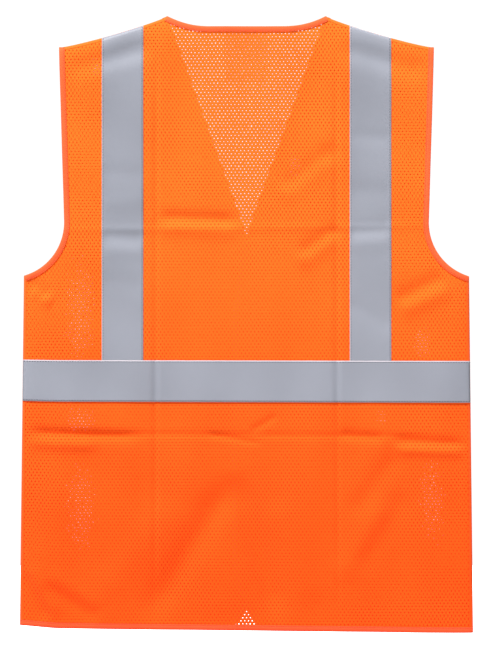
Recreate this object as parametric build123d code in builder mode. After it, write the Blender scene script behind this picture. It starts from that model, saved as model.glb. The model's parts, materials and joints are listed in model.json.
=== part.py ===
"""High visibility vest: a mesh waistcoat with sewn reflective tapes, bound edges and a
hook-and-loop front.

Frame: +Z up, the wearer's left is +X and the back is +Y. The origin is midway between the
two neck points, where the vest sits on its wearer's shoulders or on a hanger.
"""
import os

from build123d import *

# Garment outline
VEST_LENGTH = 750.0
ARMPIT_HALF_WIDTH = 272.0
HEM_HALF_WIDTH = 277.0
NECK_HALF_WIDTH = 97.0
SHOULDER_HALF_WIDTH = 229.0
SHOULDER_DROP = 38.0

# Armholes: a nearly straight edge down from the shoulder, then an arc out to the armpit
ARMHOLE_HALF_WIDTH = 222.5
ARMHOLE_STRAIGHT_DEPTH = 250.0
ARMPIT_DEPTH = 318.0

# Neck: shallow and flat-bottomed at the back, a long V at the front
BACK_NECK_DEPTH = 13.0
BACK_NECK_FLAT_HALF = 45.0
V_NECK_DEPTH = 314.0
V_NECK_BEND_RADIUS = 480.0
FRONT_OVERLAP_HALF = 17.0
FRONT_CORNER_WIDTH = 36.0
FRONT_CORNER_HEIGHT = 90.0

# How far the inside of the back and of the right front stand from the middle plane
BACK_DEPTH = 7.0
RIGHT_FRONT_DEPTH = 7.0

# Cloth, tapes and trim
CLOTH = 0.8
TAPE_WIDTH = 50.8
TAPE_THICKNESS = 0.6
BACK_TAPE_CENTRE = 151.5
FRONT_TAPE_GAP = 14.6
WAIST_TAPE_DEPTH = 421.0
BINDING_WIDTH = 6.5
BINDING_WALL = 1.0
SEAM_WIDTH = 6.0

# Front closure
CLOSURE_WIDTH = 24.0
CLOSURE_LENGTH = 254.0
CLOSURE_TOP_DEPTH = 335.0
CLOSURE_THICKNESS = 1.2
CLOSURE_MARGIN = 0.2
CLOSURE_GAP = 0.5

# Each front swings on a line that hangs just inside its neck point
HINGE_INSET = 2.0
HINGE_CLEARANCE = 1.6

# Neck label
LABEL_WIDTH = 50.0
LABEL_LENGTH = 60.0
LABEL_THICKNESS = 0.5
LABEL_CLEARANCE = 0.5

# How far the cutting areas run past the garment's ends, and past its sides
BEYOND = 60.0
REACH = ARMPIT_HALF_WIDTH + HEM_HALF_WIDTH

# The left front closes over the right one, with both closure strips between them
LEFT = 1
RIGHT = -1
SIDE_NAME = {LEFT: "left", RIGHT: "right"}
LEFT_FRONT_DEPTH = RIGHT_FRONT_DEPTH + CLOTH + 2 * CLOSURE_THICKNESS + CLOSURE_GAP
FRONT_DEPTH = {LEFT: LEFT_FRONT_DEPTH, RIGHT: RIGHT_FRONT_DEPTH}
HINGE_HALF_WIDTH = NECK_HALF_WIDTH - HINGE_INSET
FRONT_TAPE_CENTRE = HINGE_HALF_WIDTH + FRONT_TAPE_GAP + TAPE_WIDTH / 2
SHOULDER_FALL = SHOULDER_DROP / (SHOULDER_HALF_WIDTH - NECK_HALF_WIDTH)
BOUND_THICKNESS = CLOTH + 2 * BINDING_WALL


def level(y):
    """The front view's plane at one place along Y. What is drawn on it grows towards -Y."""
    return Plane.XZ.offset(-y)


def grown(area, amount):
    """An area of the front view with amount added all round."""
    return offset(area, amount=amount) if amount else area


def armhole_cut(side, grow=0.0):
    """The area outside one armhole's edge, carried on past the shoulder and the side."""
    lean = (SHOULDER_HALF_WIDTH - ARMHOLE_HALF_WIDTH) / (ARMHOLE_STRAIGHT_DEPTH - SHOULDER_DROP)
    top = (side * (SHOULDER_HALF_WIDTH + lean * BEYOND), BEYOND - SHOULDER_DROP)
    outer = side * REACH
    with BuildSketch() as cut:
        with BuildLine():
            straight = Line(top, (side * ARMHOLE_HALF_WIDTH, -ARMHOLE_STRAIGHT_DEPTH))
            armpit = (side * ARMPIT_HALF_WIDTH, -ARMPIT_DEPTH)
            scoop = TangentArc(straight @ 1, armpit, tangent=straight % 1)
            lead = scoop @ 1 + (scoop % 1) * BEYOND
            Polyline(armpit, lead, (outer, lead.Y), (outer, top[1]), top)
        make_face()
    return grown(cut.sketch, grow)


def neck_cut(grow=0.0):
    """The area above the back neck's edge."""
    with BuildSketch() as cut:
        with BuildLine():
            Line((-BACK_NECK_FLAT_HALF, -BACK_NECK_DEPTH), (BACK_NECK_FLAT_HALF, -BACK_NECK_DEPTH))
            for side in (LEFT, RIGHT):
                TangentArc((side * BACK_NECK_FLAT_HALF, -BACK_NECK_DEPTH), (side * NECK_HALF_WIDTH, 0),
                           tangent=(side, 0))
            Polyline((-NECK_HALF_WIDTH, 0), (-NECK_HALF_WIDTH, BEYOND), (NECK_HALF_WIDTH, BEYOND),
                     (NECK_HALF_WIDTH, 0))
        make_face()
    return grown(cut.sketch, grow)


def opening_cut(side, grow=0.0):
    """The area that one front's free edge leaves open: the V, the straight and the corner."""
    edge = -side * FRONT_OVERLAP_HALF
    v_run = (NECK_HALF_WIDTH + FRONT_OVERLAP_HALF) / V_NECK_DEPTH
    start = (side * (NECK_HALF_WIDTH + v_run * BEYOND), BEYOND)
    turn = (edge, -V_NECK_DEPTH)
    low = (edge, FRONT_CORNER_HEIGHT - VEST_LENGTH)
    hem = (edge + side * FRONT_CORNER_WIDTH, -VEST_LENGTH)
    far = -side * REACH
    with BuildSketch() as cut:
        with BuildLine():
            FilletPolyline(start, turn, low, radius=V_NECK_BEND_RADIUS)
            corner = TangentArc(low, hem, tangent=(0, -1))
            foot = corner @ 1 + (corner % 1) * BEYOND
            Polyline(hem, foot, (far, foot.Y), (far, BEYOND), start)
        make_face()
    return grown(cut.sketch, grow)


def side_strip(side, width):
    """The area within width of one side line, and all beyond the line."""
    run = (HEM_HALF_WIDTH - ARMPIT_HALF_WIDTH) / (VEST_LENGTH - ARMPIT_DEPTH)
    top = ARMPIT_HALF_WIDTH - run * (ARMPIT_DEPTH + BEYOND)
    low = HEM_HALF_WIDTH + run * BEYOND
    foot = -VEST_LENGTH - BEYOND
    with BuildSketch() as strip:
        with BuildLine():
            Polyline((side * (top - width), BEYOND), (side * (low - width), foot),
                     (side * REACH, foot), (side * REACH, BEYOND),
                     (side * (top - width), BEYOND))
        make_face()
    return strip.sketch


def shoulder_strip(side, width):
    """The area within width of one shoulder line, and all above the line."""
    inner = NECK_HALF_WIDTH - BEYOND
    outer = SHOULDER_HALF_WIDTH + 2 * BEYOND
    drop = width * (1 + SHOULDER_FALL**2) ** 0.5
    inner_z = SHOULDER_FALL * BEYOND - drop
    outer_z = -SHOULDER_FALL * (outer - NECK_HALF_WIDTH) - drop
    with BuildSketch() as strip:
        with BuildLine():
            Polyline((side * inner, inner_z), (side * outer, outer_z), (side * outer, 2 * BEYOND),
                     (side * inner, 2 * BEYOND), (side * inner, inner_z))
        make_face()
    return strip.sketch


def block_area(x_low, x_high, z_low, z_high):
    """A plain rectangle of the front view."""
    with BuildSketch() as area:
        with Locations(((x_low + x_high) / 2, (z_low + z_high) / 2)):
            Rectangle(x_high - x_low, z_high - z_low)
    return area.sketch


def half_area(side, start):
    """Everything on one side of the garment from start outwards."""
    low, high = sorted((side * start, side * REACH))
    return block_area(low, high, -VEST_LENGTH - BEYOND, BEYOND)


def tape_run(centre):
    """The upright run of one tape, from the waist tape to above the shoulder."""
    return block_area(centre - TAPE_WIDTH / 2, centre + TAPE_WIDTH / 2, -WAIST_TAPE_DEPTH, BEYOND)


def level_band(z_low, z_high):
    """A band right across the front view between two heights."""
    return block_area(-REACH, REACH, z_low, z_high)


# BODY is the outline to the outside of its bindings. Cloth stops one binding wall inside it
HEM_STRIP = level_band(-VEST_LENGTH - BEYOND, -VEST_LENGTH + BINDING_WIDTH)
BODY = level_band(-VEST_LENGTH, BEYOND)
for each in (LEFT, RIGHT):
    BODY = BODY - side_strip(each, 0) - shoulder_strip(each, 0) - armhole_cut(each)
CLOTH_BODY = BODY - level_band(-VEST_LENGTH - BEYOND, -VEST_LENGTH + BINDING_WALL)
for each in (LEFT, RIGHT):
    CLOTH_BODY = CLOTH_BODY - armhole_cut(each, BINDING_WALL)
BACK = BODY - neck_cut()
BACK_CLOTH = CLOTH_BODY - neck_cut(BINDING_WALL)
NECK_BAND = neck_cut(BINDING_WIDTH) & BACK
WAIST = level_band(-WAIST_TAPE_DEPTH - TAPE_WIDTH, -WAIST_TAPE_DEPTH)
BACK_TAPE_FACE = BACK_DEPTH + CLOTH + TAPE_THICKNESS
BACK_BOUND_FACE = BACK_DEPTH + CLOTH + BINDING_WALL
pieces = {}


def keep(name, block):
    """Label a finished piece and put it on the list of files."""
    block.part.label = name
    pieces[name] = block.part


# The back: one cloth, two upright tapes and a waist tape
with BuildPart() as back_panel:
    with BuildSketch(level(BACK_DEPTH + CLOTH)):
        add(BACK_CLOTH)
    extrude(amount=CLOTH)
keep("back_panel", back_panel)

with BuildPart() as back_waist_tape:
    with BuildSketch(level(BACK_TAPE_FACE)):
        add(WAIST & BACK)
    extrude(amount=TAPE_THICKNESS)
keep("back_waist_tape", back_waist_tape)

for each in (LEFT, RIGHT):
    tape_area = tape_run(each * BACK_TAPE_CENTRE) & BACK
    with BuildPart() as back_tape:
        with BuildSketch(level(BACK_TAPE_FACE)):
            add(tape_area)
        extrude(amount=TAPE_THICKNESS)
    keep(SIDE_NAME[each] + "_back_tape", back_tape)

# A binding is folded over its edge, so the cloth is cut out of it
with BuildPart() as back_hem_binding:
    with BuildSketch(level(BACK_BOUND_FACE)):
        add(HEM_STRIP & BACK)
    extrude(amount=BOUND_THICKNESS)
    add(back_panel.part, mode=Mode.SUBTRACT)
keep("back_hem_binding", back_hem_binding)

with BuildPart() as back_neck_run:
    with BuildSketch(level(BACK_BOUND_FACE)):
        add(NECK_BAND)
    extrude(amount=BOUND_THICKNESS)
    add(back_panel.part, mode=Mode.SUBTRACT)
neck_runs = [back_neck_run.part]

# The two fronts. Each is cut at its hinge line into a fixed side and a moving flap
for each in (LEFT, RIGHT):
    name = SIDE_NAME[each]
    inner_face = -FRONT_DEPTH[each]
    tape_seat = inner_face - CLOTH
    bound_face = inner_face + BINDING_WALL
    front = BODY - opening_cut(each)
    edge_band = opening_cut(each, BINDING_WIDTH) & front
    armhole_band = armhole_cut(each, BINDING_WIDTH) & BODY
    front_cloth = CLOTH_BODY - opening_cut(each, BINDING_WALL)
    fixed = half_area(each, HINGE_HALF_WIDTH + HINGE_CLEARANCE)
    moving = front - half_area(each, HINGE_HALF_WIDTH - HINGE_CLEARANCE)

    with BuildPart() as front_side:
        with BuildSketch(level(inner_face)):
            add(front_cloth & fixed)
        extrude(amount=CLOTH)
    keep(name + "_front_side", front_side)

    with BuildPart() as front_flap:
        with BuildSketch(level(inner_face)):
            add(front_cloth & moving)
        extrude(amount=CLOTH)
    keep(name + "_front_flap", front_flap)

    tape_area = tape_run(each * FRONT_TAPE_CENTRE) & front
    with BuildPart() as front_tape:
        with BuildSketch(level(tape_seat)):
            add(tape_area)
        extrude(amount=TAPE_THICKNESS)
    keep(name + "_front_tape", front_tape)

    with BuildPart() as side_waist_tape:
        with BuildSketch(level(tape_seat)):
            add(WAIST & front & fixed)
        extrude(amount=TAPE_THICKNESS)
    keep(name + "_side_waist_tape", side_waist_tape)

    with BuildPart() as flap_waist_tape:
        with BuildSketch(level(tape_seat)):
            add((WAIST & moving) - edge_band)
        extrude(amount=TAPE_THICKNESS)
    keep(name + "_flap_waist_tape", flap_waist_tape)

    with BuildPart() as front_hem_binding:
        with BuildSketch(level(bound_face)):
            add(HEM_STRIP & front & fixed)
        extrude(amount=BOUND_THICKNESS)
        add(front_side.part, mode=Mode.SUBTRACT)
    keep(name + "_front_hem_binding", front_hem_binding)

    with BuildPart() as edge_binding:
        with BuildSketch(level(bound_face)):
            add((edge_band + (HEM_STRIP & front)) & moving)
        extrude(amount=BOUND_THICKNESS)
        add(front_flap.part, mode=Mode.SUBTRACT)
    keep(name + "_edge_binding", edge_binding)

    # The hook strip is inside the left front and the loop strip outside the right one
    strip_near = FRONT_OVERLAP_HALF - BINDING_WIDTH - CLOSURE_MARGIN
    low, high = sorted((-each * strip_near, -each * (strip_near - CLOSURE_WIDTH)))
    strip_area = block_area(low, high, -CLOSURE_TOP_DEPTH - CLOSURE_LENGTH, -CLOSURE_TOP_DEPTH)
    if each == LEFT:
        strip_name = "left_hook_strip"
        strip_seat = inner_face + CLOSURE_THICKNESS
    else:
        strip_name = "right_loop_strip"
        strip_seat = tape_seat
    with BuildPart() as closure_strip:
        with BuildSketch(level(strip_seat)):
            add((strip_area & moving) - edge_band)
        extrude(amount=CLOSURE_THICKNESS)
        add(flap_waist_tape.part, mode=Mode.SUBTRACT)
    keep(strip_name, closure_strip)

    # Seams join the back to this front: one down the side and one along the shoulder
    seam_depth = BACK_DEPTH + FRONT_DEPTH[each]
    sewn_side = (side_strip(each, SEAM_WIDTH) & BODY) - HEM_STRIP - armhole_band
    with BuildPart() as side_seam:
        with BuildSketch(level(BACK_DEPTH)):
            add(sewn_side)
        extrude(amount=seam_depth)
    keep(name + "_side_seam", side_seam)

    shoulder_line = shoulder_strip(each, SEAM_WIDTH)
    sewn_shoulder = (shoulder_line & BODY) - armhole_band
    sewn_shoulder = sewn_shoulder - neck_cut(BINDING_WIDTH) - opening_cut(each, BINDING_WIDTH)
    with BuildPart() as shoulder_seam:
        with BuildSketch(level(BACK_DEPTH)):
            add(sewn_shoulder)
        extrude(amount=seam_depth)
    keep(name + "_shoulder_seam", shoulder_seam)

    # One binding runs right round the armhole, closed over the shoulder and at the armpit
    armhole_ends = (shoulder_line + side_strip(each, SEAM_WIDTH)) & armhole_band
    with BuildPart() as armhole_binding:
        with BuildSketch(level(bound_face)):
            add(armhole_band)
        extrude(amount=BOUND_THICKNESS)
        with BuildSketch(level(BACK_BOUND_FACE)):
            add(armhole_band)
        extrude(amount=BOUND_THICKNESS)
        with BuildSketch(level(BACK_DEPTH)):
            add(armhole_ends)
        extrude(amount=seam_depth)
        add(back_panel.part, mode=Mode.SUBTRACT)
        add(front_side.part, mode=Mode.SUBTRACT)
    keep(name + "_armhole_binding", armhole_binding)

    with BuildPart() as neck_front_run:
        with BuildSketch(level(bound_face)):
            add(edge_band & fixed)
        extrude(amount=BOUND_THICKNESS)
        with BuildSketch(level(BACK_DEPTH)):
            add(shoulder_line & NECK_BAND & fixed)
        extrude(amount=seam_depth)
        add(front_side.part, mode=Mode.SUBTRACT)
    neck_runs.append(neck_front_run.part)

with BuildPart() as neck_binding:
    for run in neck_runs:
        add(run)
keep("neck_binding", neck_binding)

# A blank label hangs free inside the back neck, from just under the binding
label_top = -BACK_NECK_DEPTH - BINDING_WIDTH - LABEL_CLEARANCE
with BuildPart() as neck_label:
    with BuildSketch(level(BACK_DEPTH - LABEL_CLEARANCE)):
        with Locations((0, label_top - LABEL_LENGTH / 2)):
            Rectangle(LABEL_WIDTH, LABEL_LENGTH)
    extrude(amount=LABEL_THICKNESS)
keep("neck_label", neck_label)

os.makedirs("parts", exist_ok=True)
for name, piece in pieces.items():
    export_step(piece, f"parts/{name}.step")
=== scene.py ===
"""High visibility vest: perforated cloth, reflective tapes, bound edges, closure and label.

The garment is worked out as a flat pattern in millimetres, x towards the wearer's left and z
up from the neck points. A drape lifts each layer off the middle plane and folds it softly.
"""
import json
import logging
import math
from dataclasses import dataclass, replace
from enum import Enum
from typing import Callable, Optional, Sequence

import bpy
import numpy as np
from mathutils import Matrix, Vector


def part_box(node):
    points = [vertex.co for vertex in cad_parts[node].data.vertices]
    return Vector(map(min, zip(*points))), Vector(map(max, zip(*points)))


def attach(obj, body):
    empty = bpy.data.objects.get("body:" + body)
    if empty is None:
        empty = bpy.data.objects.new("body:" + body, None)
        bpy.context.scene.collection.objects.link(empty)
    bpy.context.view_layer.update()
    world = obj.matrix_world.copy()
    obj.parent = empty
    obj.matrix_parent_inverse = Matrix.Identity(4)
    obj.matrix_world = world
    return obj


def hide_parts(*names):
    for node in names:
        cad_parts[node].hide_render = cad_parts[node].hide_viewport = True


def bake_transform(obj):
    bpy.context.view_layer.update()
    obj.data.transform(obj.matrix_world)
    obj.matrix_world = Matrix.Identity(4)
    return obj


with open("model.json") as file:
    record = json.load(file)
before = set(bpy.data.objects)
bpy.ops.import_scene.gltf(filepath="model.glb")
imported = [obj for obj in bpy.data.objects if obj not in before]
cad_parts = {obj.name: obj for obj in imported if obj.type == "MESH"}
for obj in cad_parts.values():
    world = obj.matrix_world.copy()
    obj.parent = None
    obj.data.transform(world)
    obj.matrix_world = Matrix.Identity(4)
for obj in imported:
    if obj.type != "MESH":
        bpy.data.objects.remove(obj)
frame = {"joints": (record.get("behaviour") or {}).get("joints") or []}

LOG = logging.getLogger("vest")
MM = 0.001
FULL_TURN = 2.0 * math.pi
BLOCK = 4000
Array = np.ndarray
Depth = Callable[[Array, Array], Array]


class Side(Enum):
    """The wearer's side, valued by the sign of x."""

    LEFT = 1
    RIGHT = -1

    @property
    def word(self) -> str:
        """The side's name in piece names."""
        return self.name.lower()


def smooth(t: Array) -> Array:
    """Ease from 0 to 1: 3 t squared less 2 t cubed, with t held between 0 and 1."""
    t = np.clip(t, 0.0, 1.0)
    return t * t * (3.0 - 2.0 * t)


def quarter_round(t: Array) -> Array:
    """The height of a quarter circle at t: the root of 1 less (1 - t) squared."""
    t = np.clip(t, 0.0, 1.0)
    return np.sqrt(1.0 - (1.0 - t) ** 2)


# ---------------------------------------------------------------- the flat pattern


def run_line(a: Sequence[float], b: Sequence[float], step: float) -> Array:
    """Points on a straight line from a to b, both ends included.

    Args:
        a: The first end.
        b: The last end.
        step: The longest gap between points.

    Returns:
        An array of x, z rows.
    """
    a, b = np.asarray(a, float), np.asarray(b, float)
    count = max(int(math.ceil(np.linalg.norm(b - a) / step)), 1)
    return a + (b - a) * np.linspace(0.0, 1.0, count + 1)[:, None]


def run_arc(a: Sequence[float], heading: Sequence[float], b: Sequence[float], step: float) -> Array:
    """Points on the circle that leaves a along heading and passes through b.

    The centre stands off a square to heading, by the chord squared over twice its offset.

    Args:
        a: The first end.
        heading: The direction at a.
        b: The last end.
        step: The longest gap between points.

    Returns:
        An array of x, z rows.
    """
    a, b = np.asarray(a, float), np.asarray(b, float)
    t = np.asarray(heading, float) / np.linalg.norm(heading)
    n = np.array([-t[1], t[0]])
    chord = b - a
    radius = chord @ chord / (2.0 * (chord @ n))
    centre = a + n * radius
    turn = 2.0 * math.asin(np.linalg.norm(chord) / (2.0 * abs(radius))) * math.copysign(1, radius)
    count = max(int(math.ceil(abs(turn * radius) / step)), 2)
    angle = turn * np.linspace(0.0, 1.0, count + 1)
    arm = a - centre
    x = arm[0] * np.cos(angle) - arm[1] * np.sin(angle)
    z = arm[0] * np.sin(angle) + arm[1] * np.cos(angle)
    return centre + np.stack([x, z], axis=1)


def joined(*runs: Array) -> Array:
    """Runs end to end, with the doubled points where they meet taken out.

    Args:
        runs: Each run's x, z rows.

    Returns:
        One run of x, z rows.
    """
    points = np.concatenate(runs)
    keep = np.ones(len(points), bool)
    keep[1:] = np.linalg.norm(np.diff(points, axis=0), axis=1) > 1e-6
    return points[keep]


@dataclass(frozen=True)
class Pattern:
    """The outlines of the back and the fronts, flat, in millimetres."""

    length: float = 750.0
    armpit_half: float = 272.0
    hem_half: float = 277.0
    neck_half: float = 97.0
    shoulder_half: float = 229.0
    shoulder_drop: float = 38.0
    shoulder_sag: float = 4.0
    armhole_half: float = 222.5
    armhole_straight: float = 250.0
    armpit_depth: float = 318.0
    neck_depth: float = 13.0
    neck_flat_half: float = 45.0
    v_depth: float = 314.0
    v_radius: float = 480.0
    overlap_half: float = 17.0
    corner_width: float = 36.0
    corner_height: float = 90.0
    step: float = 3.0

    def shoulder_z(self, x: Array) -> Array:
        """The shoulder's height: a straight fall that sags by the root of a half sine."""
        t = np.clip((np.abs(x) - self.neck_half) / (self.shoulder_half - self.neck_half), 0, 1)
        return -self.shoulder_drop * t - self.shoulder_sag * np.sqrt(np.sin(np.pi * t))

    def side_x(self, z: Array) -> Array:
        """The side line's distance from the middle, widening evenly from armpit to hem."""
        t = (-z - self.armpit_depth) / (self.length - self.armpit_depth)
        return self.armpit_half + (self.hem_half - self.armpit_half) * t

    def shoulder(self, side: Side) -> Array:
        """One shoulder line, from the neck point outwards."""
        x = run_line((self.neck_half, 0), (self.shoulder_half, 0), self.step)[:, 0]
        return np.stack([side.value * x, self.shoulder_z(x)], axis=1)

    def armhole(self, side: Side) -> Array:
        """One armhole edge, from the shoulder down and out to the armpit.

        Args:
            side: The wearer's side.

        Returns:
            x, z rows.
        """
        top = np.array([self.shoulder_half, -self.shoulder_drop])
        turn = np.array([self.armhole_half, -self.armhole_straight])
        arc = run_arc(turn, turn - top, (self.armpit_half, -self.armpit_depth), self.step)
        return joined(run_line(top, turn, self.step), arc) * [side.value, 1]

    def side_line(self, side: Side) -> Array:
        """One side, from the armpit down to the hem."""
        armpit, foot = (self.armpit_half, -self.armpit_depth), (self.hem_half, -self.length)
        return run_line(armpit, foot, self.step) * [side.value, 1]

    def back_neck(self) -> Array:
        """The back neck's edge, from the left neck point to the right one.

        Returns:
            x, z rows.
        """
        flat = (self.neck_flat_half, -self.neck_depth)
        rise = run_arc(flat, (1, 0), (self.neck_half, 0), self.step)
        bottom = run_line((-self.neck_flat_half, -self.neck_depth), flat, self.step)
        return joined(rise[::-1], bottom[::-1], rise * [-1, 1])

    def front_edge(self, side: Side) -> Array:
        """One front's free edge, from the neck point down the V to the hem.

        Args:
            side: The wearer's side.

        Returns:
            x, z rows.
        """
        edge = -self.overlap_half
        start, turn = np.array([self.neck_half, 0.0]), np.array([edge, -self.v_depth])
        down = (turn - start) / np.linalg.norm(turn - start)
        cut = self.v_radius * math.tan(0.5 * math.acos(-down[1]))
        bend = run_arc(turn - down * cut, down, turn - [0.0, cut], self.step)
        low = (edge, self.corner_height - self.length)
        corner = run_arc(low, (0, -1), (edge + self.corner_width, -self.length), self.step)
        slant, upright = run_line(start, bend[0], self.step), run_line(bend[-1], low, self.step)
        return joined(slant, bend, upright, corner) * [side.value, 1]

    def hem(self, x_from: float, x_to: float) -> Array:
        """The hem between two places."""
        return run_line((x_from, -self.length), (x_to, -self.length), self.step)

    def back(self) -> Array:
        """The back's closed outline.

        Returns:
            x, z rows in order round it.
        """
        left = joined(self.shoulder(Side.LEFT), self.armhole(Side.LEFT), self.side_line(Side.LEFT))
        hem = self.hem(self.hem_half, -self.hem_half)
        return joined(left, hem, left[::-1] * [-1, 1], self.back_neck()[::-1])

    def front(self, side: Side) -> Array:
        """One front's closed outline.

        Args:
            side: The wearer's side.

        Returns:
            x, z rows in order round it.
        """
        outer = joined(self.shoulder(side), self.armhole(side), self.side_line(side))
        edge = self.front_edge(side)
        return joined(outer, self.hem(outer[-1, 0], edge[-1, 0]), edge[::-1])


def inside(points: Array, outline: Array) -> Array:
    """Which points lie in a closed outline, by counting the edges crossed to the right.

    Args:
        points: x, z rows.
        outline: The outline's corners, in order.

    Returns:
        One truth value for each point.
    """
    a, b = outline, np.roll(outline, -1, axis=0)
    x, z = points[:, :1], points[:, 1:]
    spans = (a[:, 1] > z) != (b[:, 1] > z)
    rise = np.where(np.abs(b[:, 1] - a[:, 1]) < 1e-12, 1e-12, b[:, 1] - a[:, 1])
    crossing = a[:, 0] + (z - a[:, 1]) * (b[:, 0] - a[:, 0]) / rise
    return (spans & (x < crossing)).sum(axis=1) % 2 == 1


def nearest(points: Array, outline: Array) -> Array:
    """The nearest point of a closed outline to each point, by its drop onto every edge.

    Args:
        points: x, z rows.
        outline: The outline's corners, in order.

    Returns:
        x, z rows on the outline.
    """
    a = outline
    run = np.roll(outline, -1, axis=0) - a
    square = np.maximum((run**2).sum(axis=1), 1e-12)
    found = np.empty_like(points)
    for low in range(0, len(points), BLOCK):
        block = points[low:low + BLOCK]
        t = np.clip(((block[:, None] - a) * run).sum(axis=2) / square, 0.0, 1.0)
        foot = a + run * t[..., None]
        best = ((block[:, None] - foot) ** 2).sum(axis=2).argmin(axis=1)
        found[low:low + BLOCK] = foot[np.arange(len(block)), best]
    return found


# ---------------------------------------------------------------- the drape


FOLD_GAIN = 1.75
FOLD_USUAL_WIDTH = 9.0
FOLD_SPREAD = 1.2
FOLD_FADE = 0.25
FOLD_FADE_START = 0.2
FOLD_WIDTH_POWER = 0.2
WAVE_COUNT = 6
WAVE_LENGTHS = (60.0, 170.0)


@dataclass(frozen=True)
class Fold:
    """A soft crease along a straight run, standing height proud of the cloth or sunk below it."""

    start: tuple
    end: tuple
    height: float
    width: float

    def lift(self, x: Array, z: Array) -> Array:
        """Height times a bell across the run, fading over a quarter of it at each end.

        A wide fold stands higher than a narrow one of the same height, by the fifth root.

        Args:
            x: Places across, in millimetres.
            z: Places up, in millimetres.

        Returns:
            How far the fold lifts the cloth.
        """
        a, b = np.asarray(self.start, float), np.asarray(self.end, float)
        run = b - a
        length = np.linalg.norm(run)
        along = ((x - a[0]) * run[0] + (z - a[1]) * run[1]) / length**2
        off = ((x - a[0]) * -run[1] + (z - a[1]) * run[0]) / length
        ends = [smooth(gap / FOLD_FADE + FOLD_FADE_START) for gap in (along, 1.0 - along)]
        height = FOLD_GAIN * self.height * (self.width / FOLD_USUAL_WIDTH) ** FOLD_WIDTH_POWER
        return height * np.exp(-((off / (FOLD_SPREAD * self.width)) ** 2)) * (ends[0] * ends[1])


def waves(x: Array, z: Array, swell: float, seed: int) -> Array:
    """Gentle unevenness: six sines that cross, with seeded directions, lengths and starts.

    Args:
        x: Places across, in millimetres.
        z: Places up, in millimetres.
        swell: The most that they can add up to.
        seed: Where the random draws start.

    Returns:
        How far the cloth is lifted.
    """
    rng = np.random.default_rng(seed)
    total = np.zeros_like(x)
    for _ in range(WAVE_COUNT):
        angle = rng.uniform(0.0, math.pi)
        length = rng.uniform(*WAVE_LENGTHS)
        start = rng.uniform(0.0, FULL_TURN)
        total += np.sin((x * math.cos(angle) + z * math.sin(angle)) * FULL_TURN / length + start)
    return swell * total / WAVE_COUNT


BACK_FOLDS = (
    # Packing creases: two upright, two level
    Fold((110, -12), (112, -742), -1.1, 3.2),
    Fold((-109, -12), (-112, -742), -1.1, 3.2),
    Fold((250, -262), (-250, -256), 0.5, 4.0),
    Fold((262, -511), (-262, -513), -0.8, 3.6),
    # Below each shoulder the cloth dips before it rolls over the seam
    Fold((112, -36), (222, -68), -1.6, 11.0),
    Fold((-112, -38), (-222, -70), -1.6, 11.0),
    # Between the shoulder blades
    Fold((110, -246), (8, -250), -2.0, 7.0),
    Fold((112, -259), (4, -264), 1.0, 8.0),
    Fold((-114, -256), (-66, -292), -1.8, 8.0),
    Fold((-108, -268), (-60, -306), 1.2, 9.0),
    Fold((-112, -158), (-46, -212), -1.5, 9.0),
    Fold((-100, -172), (-40, -226), 1.0, 10.0),
    # Puckers running in from the armpits
    Fold((268, -322), (244, -345), -1.6, 7.0),
    Fold((264, -336), (236, -352), 1.3, 7.0),
    Fold((-182, -348), (-243, -318), -1.6, 9.0),
    Fold((-186, -362), (-250, -332), 1.3, 9.0),
    # Just below the waist tape
    Fold((272, -510), (126, -515), -2.1, 5.5),
    Fold((272, -523), (180, -526), 1.5, 6.5),
    Fold((-176, -518), (-272, -522), -2.1, 5.0),
    Fold((-182, -529), (-272, -532), 1.8, 6.0),
    Fold((-112, -510), (-168, -516), -1.3, 6.0),
    Fold((50, -511), (-18, -522), -1.1, 3.5),
    Fold((-4, -508), (-38, -488), -1.0, 4.0),
    # The wide hollow in the middle of the skirt
    Fold((12, -560), (122, -738), -2.9, 15.0),
    Fold((12, -560), (-40, -738), -3.1, 13.0),
    Fold((52, -600), (44, -742), 1.0, 20.0),
    Fold((88, -590), (172, -712), 1.3, 18.0),
    Fold((-34, -590), (-84, -718), 1.3, 16.0),
    # The corners of the skirt
    Fold((275, -683), (242, -742), -1.8, 8.0),
    Fold((268, -676), (232, -738), 1.2, 9.0),
    Fold((250, -695), (180, -738), -1.5, 9.0),
    Fold((244, -684), (176, -726), 1.0, 10.0),
    Fold((-186, -530), (-130, -610), -1.5, 11.0),
    Fold((-176, -590), (-112, -690), 1.3, 12.0),
    Fold((-196, -580), (-134, -678), -1.1, 12.0),
    # The tapes ripple where they were folded
    Fold((178, -268), (124, -274), -0.77, 9.0),
    Fold((178, -286), (124, -288), 0.50, 9.0),
    Fold((178, -190), (124, -196), -0.41, 9.0),
    Fold((178, -230), (124, -226), 0.41, 10.0),
    Fold((178, -322), (124, -330), -0.36, 10.0),
    Fold((-124, -262), (-178, -258), -0.81, 9.0),
    Fold((-124, -280), (-178, -274), 0.50, 9.0),
    Fold((-124, -146), (-178, -150), -0.41, 8.0),
    Fold((-124, -212), (-178, -216), -0.41, 10.0),
    Fold((-124, -348), (-178, -382), -0.45, 10.0),
)

FRONT_FOLDS = (
    Fold((110, -30), (112, -742), -0.9, 3.5),
    Fold((-110, -30), (-112, -742), -0.9, 3.5),
    Fold((262, -258), (-262, -256), 0.8, 5.0),
    Fold((262, -512), (-262, -510), -1.1, 5.0),
    Fold((250, -345), (188, -372), -1.5, 10.0),
    Fold((-250, -340), (-190, -370), -1.5, 10.0),
    Fold((90, -300), (34, -380), 1.3, 16.0),
    Fold((-96, -290), (-30, -370), 1.2, 16.0),
    Fold((180, -560), (140, -720), -1.8, 22.0),
    Fold((-190, -550), (-150, -725), -1.7, 22.0),
    Fold((70, -560), (50, -730), 1.5, 20.0),
    Fold((-70, -580), (-60, -735), 1.4, 18.0),
    Fold((165, -210), (110, -216), -1.1, 10.0),
    Fold((-165, -230), (-110, -226), -1.1, 10.0),
)


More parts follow.
